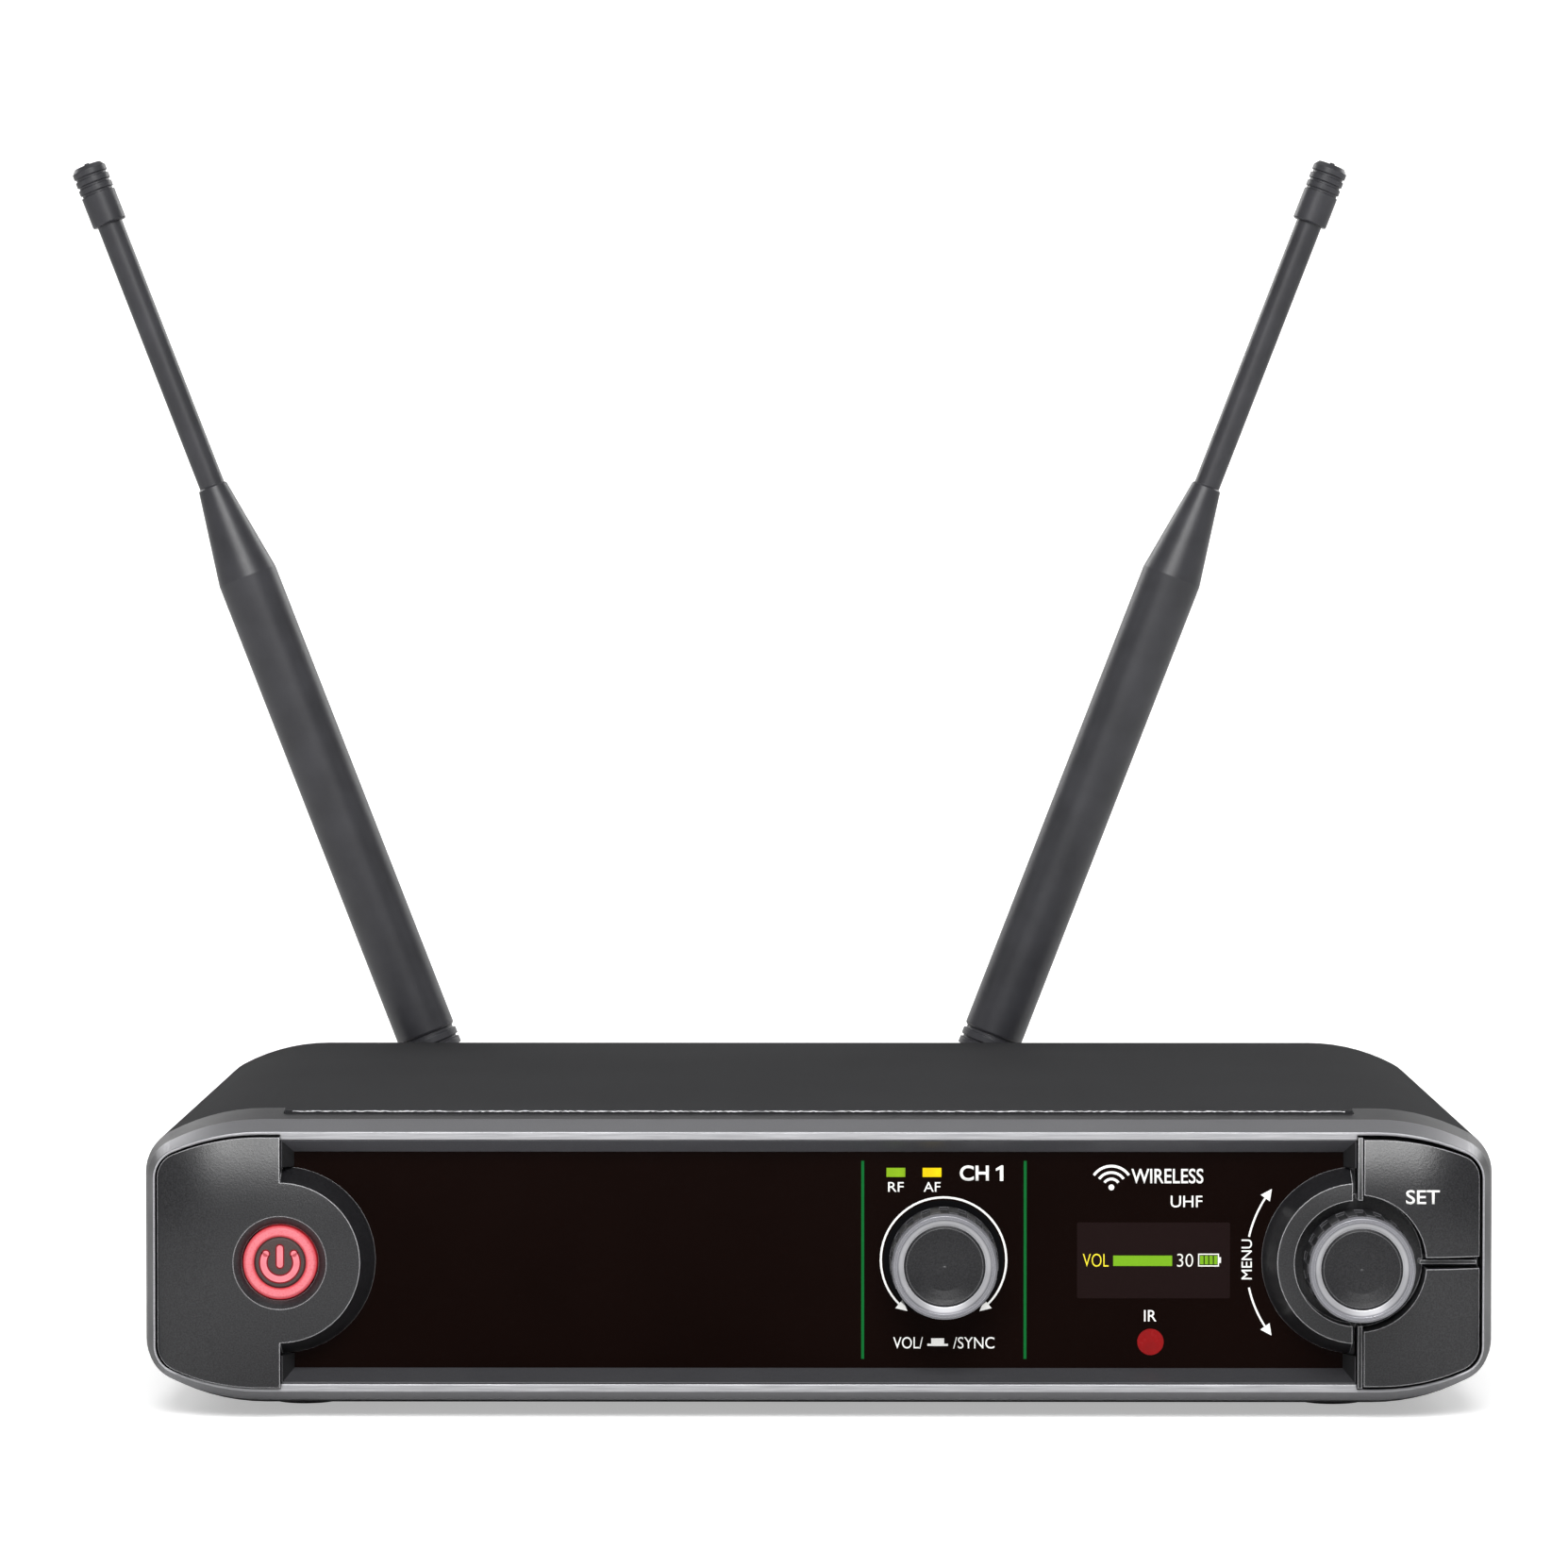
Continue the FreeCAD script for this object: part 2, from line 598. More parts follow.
def falling_face(body, side, half_width, start):
    """Trim a pod or button so that its face falls back to the outer end along an arc."""
    drop = size("pod_rise") + size("pod_fall")
    run = half_width - start
    radius = (run * run + drop * drop) / (drop * 2)
    beyond = 5
    far, high = half_width + 1, size("pod_rise") + beyond
    sketch = new_sketch(body, 0, "XZ_Plane")
    centre = Vector(side * start.value, size("pod_rise").value - radius.value, 0)
    top, sweep = math.pi / 2, math.asin(run.value / radius.value)
    first, last = (top - sweep, top) if side > 0 else (top, top + sweep)
    circle = Part.Circle(centre, Vector(0, 0, 1), radius.value)
    arc = sketch.addGeometry(Part.ArcOfCircle(circle, first, last))
    inner, outer = (2, 1) if side > 0 else (1, 2)
    place_point(sketch, arc, 3, start * side, size("pod_rise") - radius)
    index = sketch.addConstraint(Sketcher.Constraint("Radius", arc, radius.value))
    bind(sketch, f"Constraints[{index}]", radius)
    sketch.addConstraint(Sketcher.Constraint("Vertical", arc, 3, arc, inner))
    low = -size("pod_fall")
    corners = [(half_width, low), (far, low), (far, high), (start, high), (start, size("pod_rise"))]
    points = [Vector(side * x.value, y.value, 0) for x, y in corners]
    lines = [sketch.addGeometry(Part.LineSegment(a, b)) for a, b in zip(points, points[1:])]
    for line, follower in zip(lines, lines[1:]):
        sketch.addConstraint(Sketcher.Constraint("Coincident", line, 2, follower, 1))
    sketch.addConstraint(Sketcher.Constraint("Coincident", arc, outer, lines[0], 1))
    sketch.addConstraint(Sketcher.Constraint("Coincident", arc, inner, lines[3], 2))
    for line, direction in zip(lines, ("Horizontal", "Vertical", "Horizontal", "Vertical")):
        sketch.addConstraint(Sketcher.Constraint(direction, line))
    place_point(sketch, lines[1], 2, far * side, high)
    place_point(sketch, arc, outer, half_width * side)
    before = volume_of(body)
    feature = body.newObject("PartDesign::Pocket", "falling_face")
    feature.Profile = sketch
    feature.Type = "ThroughAll"
    feature.Midplane = True
    if volume_of(body) >= before:
        raise ValueError(f"the face of {body.Label} isn't cut")


def power_well(body, side):
    """The dish round the power button and the bore it slides in."""
    face = size("pod_rise")
    dish = size("power_well_radius")
    bore = size("power_ring_radius") + size("button_gap")
    centre_x = control_x * side
    dish_depth = 1.2
    wide = new_sketch(body, face)
    draw_circle(wide, dish, centre_x)
    narrow = new_sketch(body, face - dish_depth)
    draw_circle(narrow, bore, centre_x)
    loft(body, [wide, narrow], cut=True)
    cut_prism(body, lambda sketch: draw_circle(sketch, bore, centre_x), -face)


def left_pod():
    """The left end: a falling face, a disc with a skirt over the window, and the power well."""
    body = front_body("left_pod")
    start, end = -size("pod_rise"), size("pod_base")
    add_prism(body, lambda sketch: draw_end(sketch, pod_outline, False, control_x), start, end)
    falling_face(body, -1, pod_outline.half_width, fall_start)
    add_half_disc(body, -1)
    power_well(body, -1)


def add_half_disc(body, side, edge=0):
    """The half disc over the window: its face is as high as the pod's, its skirt is conical."""
    top = new_sketch(body, size("pod_rise"))
    draw_half_circle(top, size("disc_radius"), side, edge)
    floor = new_sketch(body, behind(size("window_depth")))
    draw_half_circle(floor, size("skirt_radius"), side, edge)
    loft(body, [top, floor])


def draw_half_circle(sketch, radius, side, edge, inward=True):
    """Half a circle about a control's centre, on one side of an upright line."""
    centre_x, edge_x = control_x * side, (control_x - edge) * side
    lean = math.acos((edge if inward else -edge) / radius.value)
    middle = math.pi if (side > 0) == inward else 0
    circle = Part.Circle(Vector(centre_x.value, 0, 0), Vector(0, 0, 1), radius.value)
    arc = sketch.addGeometry(Part.ArcOfCircle(circle, middle - lean, middle + lean))
    place_point(sketch, arc, 3, centre_x, 0)
    index = sketch.addConstraint(Sketcher.Constraint("Radius", arc, radius.value))
    bind(sketch, f"Constraints[{index}]", radius)
    ends = [sketch.getPoint(arc, end) for end in (2, 1)]
    chord = sketch.addGeometry(Part.LineSegment(*ends))
    sketch.addConstraint(Sketcher.Constraint("Coincident", arc, 2, chord, 1))
    sketch.addConstraint(Sketcher.Constraint("Coincident", arc, 1, chord, 2))
    sketch.addConstraint(Sketcher.Constraint("Vertical", chord))
    pair = (ORIGIN, 1, chord, 1) if side > 0 else (chord, 1, ORIGIN, 1)
    index = sketch.addConstraint(Sketcher.Constraint("DistanceX", *pair, abs(edge_x.value)))
    bind(sketch, f"Constraints[{index}]", edge_x * side)


def right_pod():
    """The right end: the half disc, the divider bars between the buttons, and the plate below."""
    body = front_body("right_pod")
    face = size("pod_rise")
    add_prism(body, lambda sketch: draw_end(sketch, pod_outline, True, control_x - size("hair")),
              plate_face, size("pod_base"))
    disc_edge = 0.8
    add_half_disc(body, 1, disc_edge)
    bar_low, bar_high = size("well_radius") - 1.5, pod_outline.half_height
    bar_middle, bar_half = (bar_low + bar_high) / 2, (bar_high - bar_low) / 2
    bar_x = control_x + size("divider_half") + 0.07
    bar_sunk, rib_sunk = 0.4, 0.9
    for sign in (-1, 1):
        add_prism(body, lambda sketch: draw_box(sketch, size("divider_half"), bar_half, bar_x,
                                                bar_middle * sign), bar_sunk - face, plate_face)
    rib_start, rib_end = control_x + 8, pod_outline.half_width - 0.6
    add_prism(body, lambda sketch: draw_box(sketch, (rib_end - rib_start) / 2, size("rib_half"),
                                            (rib_start + rib_end) / 2), rib_sunk, plate_face)
    add_prism(body, lambda sketch: draw_circle(sketch, well_wall, control_x), size("well_depth"),
              size("window_depth"))
    wall_edge = -0.15
    add_prism(body, lambda sketch: draw_half_circle(sketch, well_wall, 1, wall_edge, inward=False),
              size("window_depth"), plate_face)
    cut_prism(body, lambda sketch: draw_circle(sketch, size("well_radius"), control_x), -face,
              face + size("well_depth"))
    shaft_hole = size("shaft_radius") + 0.4
    cut_prism(body, lambda sketch: draw_circle(sketch, shaft_hole, control_x), -face)
    for sign in (-1, 1):
        cut_prism(body, lambda sketch: draw_circle(sketch, size("post_hole"), size("button_x"),
                                                   size("button_z") * sign), -face)


def end_button(label, sign):
    """A push button that fills a quarter of the right end, round the menu knob's well."""
    body = front_body(label)
    gap = size("button_gap")
    side_shrink, top_shrink = 0.15, 0.3
    outline = Outline(size("rim_side_inset") + size("rim_thin") + size("pod_gap") + side_shrink,
                      size("rim_top_inset") + size("rim_thick") + size("pod_gap") + top_shrink)
    inner = control_x + size("divider_half") * 2 + 0.05 + gap
    underside_room = 0.2
    add_prism(body, lambda sketch: draw_end(sketch, outline, True, inner),
              -size("pod_rise"), plate_face - size("button_travel") - underside_room)
    falling_face(body, 1, outline.half_width, fall_start)
    ahead = -size("pod_rise") - 1
    other_half, middle_edge = outline.half_height / 2 + 1, size("rib_half") * 3
    cut_prism(body, lambda sketch: draw_box(sketch, outline.half_width - control_x + 5, other_half,
                                            control_x, (middle_edge - other_half) * sign), ahead)
    cut_prism(body, lambda sketch: draw_circle(sketch, well_wall + gap, control_x), ahead)
    post_start = 3
    add_prism(body, lambda sketch: draw_circle(sketch, size("post_radius"), size("button_x"),
                                               size("button_z") * sign),
              post_start, size("front_board_depth") - size("switch_reach"))


def power_button():
    """The power button: a cap inside its light ring, on a post that reaches the switch."""
    body = front_body("power_button", -control_x)
    rim, post = size("power_cap_radius"), 2.5
    tail = size("switch_reach") - size("front_board_depth")
    turned(body, [(0, tail), (post, tail), (post, -power_skirt), (rim, -power_skirt), (rim, 0.6),
                  (rim - 0.35, 0.9), (0, 1.0)])


def power_ring():
    """The translucent ring that glows round the power button's cap."""
    body = front_body("power_ring", -control_x)
    bore = size("power_cap_radius")
    rim = size("power_ring_radius")
    turned(body, [(bore, -power_skirt), (rim, -power_skirt), (rim, 0.75), (rim - 0.45, 1.15),
                  (bore + 0.3, 1.15), (bore, 0.85)])


# ---------------------------------------------------------------- knobs and encoders
def knob_front(base_depth):
    """Height of a knob's front face above the rim."""
    return size("knob_height") - base_depth


def knob(label, x, base_depth):
    """The knurled skirt: turned, with grooves between its ribs and a blind bore for the shaft."""
    body = front_body(label, x)
    base, front = behind(base_depth), knob_front(base_depth)
    radius, seat, draft = size("knob_radius"), front - size("seat_depth"), 0.15
    turned(body, [(0, base), (radius, base), (radius - draft, seat), (0, seat)])
    before = volume_of(body)
    groove_half, groove_bite, base_band = 0.7, 0.45, 0.9
    sketch = new_sketch(body, front)
    draw_box(sketch, groove_half, 0.75, 0, radius - groove_bite + 0.75)
    groove = pocket(body, sketch, size("knob_height") - base_band)
    pattern = body.newObject("PartDesign::PolarPattern", "ribs")
    pattern.Originals = [groove]
    pattern.Axis = (origin_plane(body, "Z_Axis"), [""])
    pattern.Angle = 360
    bind(pattern, "Occurrences", size("knob_ribs"))
    body.Tip = pattern
    one_groove = before - groove.Shape.Volume
    if volume_of(body) > before - one_groove * (size("knob_ribs").value - 1):
        raise ValueError(f"{label} has too few grooves")
    bore = new_sketch(body, base)
    draw_circle(bore, size("shaft_radius"))
    pocket_up(body, bore, size("knob_height") - size("knob_roof"))


def pocket_up(body, sketch, length):
    """Cut from a sketch towards the front."""
    before = volume_of(body)
    feature = body.newObject("PartDesign::Pocket", "pocket")
    feature.Profile = sketch
    feature.Reversed = True
    bind(feature, "Length", length)
    if volume_of(body) >= before - TINY:
        raise ValueError(f"a pocket in {body.Label} cuts nothing")


def knob_ring(label, x, base_depth):
    """The silver ring round a knob's front, bevelled inwards down to the cap."""
    body = front_body(label, x)
    front = knob_front(base_depth)
    rim, bevel, bore = size("knob_ring_radius"), size("knob_ring_bore"), size("knob_cap_radius")
    seat, chamfer, bevel_drop = front - size("seat_depth"), 0.35, 0.7
    turned(body, [(bore, seat), (rim, seat), (rim, front - chamfer), (rim - chamfer, front),
                  (bevel + 0.25, front), (bore + size("hair"), front - bevel_drop),
                  (bore, front - bevel_drop)])


def knob_cap(label, x, base_depth):
    """The knob's dished cap."""
    body = front_body(label, x)
    front, rim = knob_front(base_depth), size("knob_cap_radius")
    seat = front - size("seat_depth")
    turned(body, [(0, seat), (rim, seat), (rim, front - 0.7), (rim - 0.4, front - 0.4),
                  (rim - 1.1, front - 0.6), (rim * 0.6, front - 0.95), (rim * 0.3, front - 1.15),
                  (0, front - 1.2)])


shaft_back = size("front_board_depth") - 3
plunger_length = 2.2


def encoder(label, x, plunger=False):
    """An encoder's fixed body and bush, bored for its shaft and, behind it, for its plunger."""
    body = front_body(label, x)
    gap = size("running_gap")
    bush_front = size("fascia_back") + size("slip")
    front, back = bush_front + 2.5, size("front_board_depth")
    add_prism(body, lambda sketch: draw_box(sketch, encoder_half_width, encoder_half_height),
              front, back)
    add_prism(body, lambda sketch: draw_circle(sketch, size("bush_radius")), bush_front, front)
    bore_end = shaft_back + size("knob_travel") + size("slip") if plunger else shaft_back
    cut_prism(body, lambda sketch: draw_circle(sketch, size("shaft_radius") + gap), 0, bore_end)
    if plunger:
        cut_prism(body, lambda sketch: draw_circle(sketch, size("stem_radius") + gap), shaft_back,
                  plunger_length + size("knob_travel") + size("slip"))


def encoder_shaft(label, x, base_depth):
    """A shaft from its encoder to the end of its knob's bore."""
    body = front_body(label, x)
    start = as_length(base_depth) - (size("knob_height") - size("knob_roof"))
    add_prism(body, lambda sketch: draw_circle(sketch, size("shaft_radius")), start, shaft_back)


def volume_plunger():
    """The push switch's plunger behind the volume shaft: it slides but doesn't turn."""
    body = front_body("volume_plunger", size("volume_x"))
    add_prism(body, lambda sketch: draw_circle(sketch, size("stem_radius")), shaft_back,
              shaft_back + plunger_length)


# ---------------------------------------------------------------- behind the window
chip_height = 1.1
lens_length = 3.5
switch_case_width, switch_case_height, switch_dome_height = 6, 3.3, 0.4


def front_y(depth):
    """The world Y of a depth behind the rim."""
    return front_rim + depth


def display_module():
    """The display behind the window, with the header that joins it to the front board."""
    depth = size("window_depth") + size("window_thick") + size("slip")
    panel_thick, header_width, header_height = 3.6, 20, 2.5
    low = case_centre - size("display_height") / 2
    panel = box("display_panel", size("display_x"), front_y(depth), low, size("display_width"),
                panel_thick, size("display_height"))
    header = box("display_header", size("display_x"), front_y(depth + panel_thick), low + 1,
                 header_width, size("front_board_depth") - depth - panel_thick, header_height)
    fuse("display_module", [panel, header])


def light_pipe(label, x):
    """A clear bar from an LED on the front board to the window's surface."""
    low = case_centre + size("indicator_z") - size("indicator_height") / 2
    back = size("front_board_depth") - chip_height - size("slip")
    box(label, x, front_y(size("window_depth")), low, size("indicator_width"),
        back - size("window_depth"), size("indicator_height"))


def infrared_lens():
    """The red lens in the window."""
    rod_along_y("infrared_lens", size("infrared_x"), front_y(size("window_depth")),
                case_centre + size("infrared_z"), size("infrared_radius"), lens_length)


def front_leds():
    """The two LEDs behind the light pipes, and the infrared diode behind its lens."""
    board = size("front_board_depth")
    diode_start, diode_radius = size("window_depth") + lens_length + 0.3, 1.5
    chip_width, chip_tall = 2.0, 1.2
    chips = [rod_along_y("infrared_diode", size("infrared_x"), front_y(diode_start),
                         case_centre + size("infrared_z"), diode_radius, board - diode_start)]
    for name, x in (("radio_chip", "radio_led_x"), ("audio_chip", "audio_led_x")):
        chips.append(box(name, size(x), front_y(board - chip_height),
                         case_centre + size("indicator_z") - chip_tall / 2, chip_width,
                         chip_height, chip_tall))
    group("front_leds", chips)


def button_switches():
    """Identical tact switches behind the power, set and lower buttons."""
    switches = []
    board = size("front_board_depth")
    width, tall, dome_tall = switch_case_width, switch_case_height, switch_dome_height
    dome_radius = 1.7
    places = ((-control_x, as_length(0)), (size("button_x"), size("button_z")),
              (size("button_x"), -size("button_z")))
    for number, (x, z) in enumerate(places, start=1):
        case = box(f"switch_case_{number}", x, front_y(board - tall), case_centre + z - width / 2,
                   width, tall, width)
        dome = rod_along_y(f"switch_dome_{number}", x, front_y(board - tall - dome_tall),
                           case_centre + z, dome_radius, dome_tall)
        switches.append(fuse(f"switch_{number}", [case, dome]))
    group("button_switches", switches)


def front_board():
    """The upright circuit board behind the fascia."""
    width, height = 196, 35
    box("front_board", as_length(0), front_y(size("front_board_depth")), case_centre - height / 2,
        width, size("board_thick"), height)


# ---------------------------------------------------------------- shells, feet and screws
def shell(label, top):
    """Half of the steel case: the section hollowed and cut at mid height, with two rear tabs."""
    body = front_body(label)
    outline_prism(body, case_outline, size("frame_depth") + size("hair"), size("case_depth"))
    inner = Outline(size("shell_wall"), size("shell_wall"))
    cut_prism(body, lambda sketch: draw_outline(sketch, inner), 0)
    sign = 1 if top else -1
    other = half_height / 2 + 1
    cut_prism(body, lambda sketch: draw_box(sketch, size("case_width"), other, 0,
                                            (size("hair") - other) * sign), 0)
    tab_half, tab_thick = 4.5, 1.5
    tab_start = rear_plate_depth - tab_thick - size("slip")
    for side in (-1, 1):
        x = size("tab_x") * side
        add_prism(body, lambda sketch: draw_box(sketch, tab_half, tab_half, x,
                                                (size("tab_z") + 1.3) * sign),
                  tab_start, tab_start + tab_thick)
        cut_prism(body, lambda sketch: draw_circle(sketch, size("screw_radius"), x,
                                                   size("tab_z") * sign),
                  tab_start - 1, tab_thick + 2)
    return body


def top_cover():
    """The upper shell; its front tongue lies on the frame's ledge between the end pods."""
    body = shell("top_cover", True)
    wall = size("shell_wall")
    add_prism(body, lambda sketch: draw_box(sketch, control_x - size("slip") * 2, wall / 2, 0,
                                            half_height - wall / 2),
              size("tongue_reach") + size("slip"), size("frame_depth") + size("hair"))


SCREW_SPOTS = ((-70.0, -35.0), (-70.0, 45.0), (0.0, -35.0), (0.0, 45.0), (70.0, -35.0),
               (70.0, 45.0))


def bottom_tray():
    """The lower shell, with a clearance hole below each board standoff."""
    body = shell("bottom_tray", False)
    hole, above = size("screw_hole") + size("slip"), 1
    for x, y in SCREW_SPOTS:
        sketch = new_sketch(body, half_height + above, "XZ_Plane")
        draw_circle(sketch, hole, x, front_rim - y)
        pocket(body, sketch, size("shell_wall") + above * 2)


def foot_places():
    x = size("case_width") / 2 - size("foot_side_inset")
    y = size("case_depth") / 2 - size("foot_end_inset")
    return [(x * side, y * end) for side in (-1, 1) for end in (-1, 1)]


def feet():
    """Four round rubber feet."""
    group("feet", [upright_rod(f"foot_{number}", x, y, 0, size("foot_radius"), size("foot_height"))
                   for number, (x, y) in enumerate(foot_places(), start=1)])


tray_floor = size("foot_height") + size("shell_wall")
board_low = tray_floor + size("pillar_height")


def standoffs():
    """Pillars between the tray and the main board, tapped right through."""
    pillars = []
    for number, (x, y) in enumerate(SCREW_SPOTS, start=1):
        pillar = upright_rod(f"pillar_{number}", x, y, tray_floor, size("pillar_radius"),
                             size("pillar_height"))
        bore = upright_rod(f"pillar_bore_{number}", x, y, tray_floor, size("screw_radius"),
                           size("pillar_height"))
        pillars.append(cut(f"standoff_{number}", pillar, bore))
    group("standoffs", pillars)


def screw_up(name, x, y, z, shank, head_below):
    """An M2.6 pan-head screw on an upright axis, its shank from z, head below or above it."""
    shaft = upright_rod(f"{name}_shank", x, y, z, size("screw_radius"), shank)
    head_z = as_length(z) - size("screw_head_height") if head_below else as_length(z) + shank
    head = upright_rod(f"{name}_head", x, y, head_z, size("screw_head_radius"),
                       size("screw_head_height"))
    return fuse(name, [shaft, head])


def upright_screws():
    """The screws under the tray and the screws on the main board, both in the standoffs."""
    under, over = [], []
    shank = 4.0
    over_start = board_low + size("board_thick") - shank
    for number, (x, y) in enumerate(SCREW_SPOTS, start=1):
        under.append(screw_up(f"under_{number}", x, y, size("foot_height"), shank, True))
        over.append(screw_up(f"over_{number}", x, y, over_start, shank, False))
    group("tray_screws", under + over)


def main_board():
    """The main circuit board on its standoffs."""
    start, width, depth = -50, 176, 112
    board = box("board_blank", as_length(0), start, board_low, width, depth, size("board_thick"))
    holes = [upright_rod(f"board_hole_{number}", x, y, board_low - 1, size("screw_hole"), 4)
             for number, (x, y) in enumerate(SCREW_SPOTS, start=1)]
    cut("main_board", board, fuse("board_holes", holes))


board_top = board_low + size("board_thick")


def board_furniture():
    """Shield cans over the radio circuits, and the connector ribbon."""
    cans = []
    start, width, depth, height, sheet_thick = 5, 36, 28, 5, 0.3
    for number, x in enumerate((-50.0, 12.0), start=1):
        outside = box(f"can_outside_{number}", x, start, board_top, width, depth, height)
        inside = box(f"can_inside_{number}", x, start + sheet_thick, board_top,
                     width - sheet_thick * 2, depth - sheet_thick * 2, height - sheet_thick)
        cans.append(cut(f"can_{number}", outside, inside))
    group("shield_cans", cans)
    ribbon_x, ribbon_width, ribbon_thick, ribbon_rise = as_length(-20), 30, 0.8, 3
    ribbon_start = front_y(size("front_board_depth") + size("board_thick"))
    ribbon_end = as_length(-44)
    strip = box("ribbon_strip", ribbon_x, ribbon_start, board_top + ribbon_rise, ribbon_width,
                ribbon_end - ribbon_start, ribbon_thick)
    drop = box("ribbon_drop", ribbon_x, ribbon_end - ribbon_thick, board_top, ribbon_width,
               ribbon_thick, ribbon_rise)
    fuse("ribbon_cable", [strip, drop])


# ---------------------------------------------------------------- rear panel
row_z = case_centre + size("rear_row_z")
antenna_z = case_centre + size("antenna_z")
output_z = case_centre + size("output_z")
level_disc_radius, inlet_radius = 3.6, 4.0
case_drop = 6.5


def rear_panel():
    """The rear plate inside the shells, with the holes for what it carries."""
    body = front_body("rear_panel")
    start, slip = rear_plate_depth, size("slip")
    inset = size("shell_wall") + slip
    outline_prism(body, Outline(inset, inset), start, start + size("rear_thick"))
    holes = [(size("output_x"), size("output_z"), size("output_radius") + slip),
             (size("jack_x"), size("rear_row_z"), size("bush_radius") + slip),
             (size("trimmer_x"), size("rear_row_z"), level_disc_radius + 0.4),
             (size("inlet_x"), size("rear_row_z"), inlet_radius + slip)]
    holes += [(size(x), size("antenna_z"), size("bush_radius"))
              for x in ("antenna_left_x", "antenna_right_x")]
    for sign in (-1, 1):
        holes += [(size("tab_x") * side, size("tab_z") * sign, size("screw_hole"))
                  for side in (-1, 1)]
        holes.append((size("output_x") + size("output_screw_x") * sign,
                      size("output_z") + size("output_screw_z") * sign, size("screw_hole")))
    for x, z, radius in holes:
        cut_prism(body, lambda sketch: draw_circle(sketch, radius, x, z), start - 1,
                  size("rear_thick") + 2)


def screw_back(name, x, z, start, shank):
    """A pan-head screw along Y with its head on a rear face at start."""
    shaft = rod_along_y(f"{name}_shank", x, start - shank, z, size("screw_radius"), shank)
    head = rod_along_y(f"{name}_head", x, start, z, size("screw_head_radius"),
                       size("screw_head_height"))
    return fuse(name, [shaft, head])


def rear_screws():
    """The screws that hold the rear panel to the tabs and the balanced output to the panel."""
    output_shank, tab_shank = 6, 5
    screws = [screw_back(f"output_screw_{side + 1}", size("output_x") + size("output_screw_x") * side,
                         output_z + size("output_screw_z") * side,
                         rear_face + size("output_flange"), output_shank)
              for side in (-1, 1)]
    for side in (-1, 1):
        for sign in (-1, 1):
            screws.append(screw_back(f"rear_screw_{side + 1}{sign + 1}", size("tab_x") * side,
                                     case_centre + size("tab_z") * sign, rear_face, tab_shank))
    group("rear_screws", screws)


def balanced_output():
    """Three-pin balanced output: flanged barrel and insulator."""
    x, radius, flange = size("output_x"), size("output_radius"), size("output_flange")
    bore, floor_y = radius - size("barrel_wall"), rear_inner - 6
    plate_width, plate_height, barrel_back, insulator_thick = 29, 26, 8, 2
    barrel = rod_along_y("output_barrel", x, rear_inner - barrel_back, output_z, radius,
                         barrel_back + size("rear_thick") + flange)
    plate = box("output_plate", x, rear_face, output_z - plate_height / 2, plate_width, flange,
                plate_height)
    outside = fuse("output_outside", [barrel, plate])
    hollow = rod_along_y("output_hollow", x, floor_y, output_z, bore, 12)
    holes = [rod_along_y(f"output_hole_{side + 1}", x + size("output_screw_x") * side,
                         rear_face - 1, output_z + size("output_screw_z") * side,
                         size("screw_hole"), 4) for side in (-1, 1)]
    cut("balanced_output", outside, fuse("output_cuts", [hollow] + holes))
    rod_along_y("output_insulator", x, floor_y, output_z, bore, insulator_thick)


def connector_pins():
    """The contact pins of the balanced output and the centre pin of the power inlet."""
    inlet_pin_radius, inlet_pin_length = 1.0, 8
    pins = [rod_along_y("inlet_pin", size("inlet_x"), rear_inner - inlet_pin_length, row_z,
                        inlet_pin_radius, inlet_pin_length)]
    count, circle, pin_radius, pin_length = 3, 4.2, 1.15, 6.5
    for number in range(count):
        angle = math.radians(90 + 360 / count * number)
        pins.append(rod_along_y(f"output_pin_{number + 1}",
                                size("output_x") + circle * math.cos(angle), rear_inner - 4,
                                output_z + circle * math.sin(angle), pin_radius, pin_length))
    group("connector_pins", pins)


def jack_output():
    """Jack socket: its box on the board, a threaded bush and a round nut."""
    x, bush_radius = size("jack_x"), size("bush_radius")
    width, length, height, end_wall = 14, 21, 12.5, 1
    bush_stands_out, nut_across, nut_height = 3.2, 6.6, 2.2
    case = box("jack_case", x, rear_inner - length, row_z - case_drop, width, length, height)
    bush = rod_along_y("jack_bush", x, rear_inner, row_z, bush_radius,
                       size("rear_thick") + bush_stands_out)
    bore = rod_along_y("jack_hollow", x, rear_inner - length + end_wall, row_z, size("jack_bore"),
                       length + 10)
    cut("jack_output", fuse("jack_outside", [case, bush]), bore)
    hexagon = primitive("Prism", "jack_nut_blank", Circumradius=nut_across, Height=nut_height)
    hexagon.Polygon = 6
    put(hexagon, x, rear_face, row_z, Rotation(Vector(1, 0, 0), -90))
    cut("jack_nut", hexagon, rod_along_y("jack_nut_bore", x, rear_face, row_z, bush_radius,
                                         nut_height))


def power_inlet():
    """Barrel power inlet."""
    x = size("inlet_x")
    width, length, stands_out, hollow_radius, hollow_depth = 9, 12, 0.6, 2.75, 8
    case = box("inlet_case", x, rear_inner - length, row_z - case_drop, width, length, length)
    mouth = rod_along_y("inlet_mouth", x, rear_inner, row_z, inlet_radius,
                        size("rear_thick") + stands_out)
    hollow = rod_along_y("inlet_hollow", x, rear_inner - hollow_depth, row_z, hollow_radius,
                         hollow_depth + 4)
    cut("power_inlet", fuse("inlet_outside", [case, mouth]), hollow)


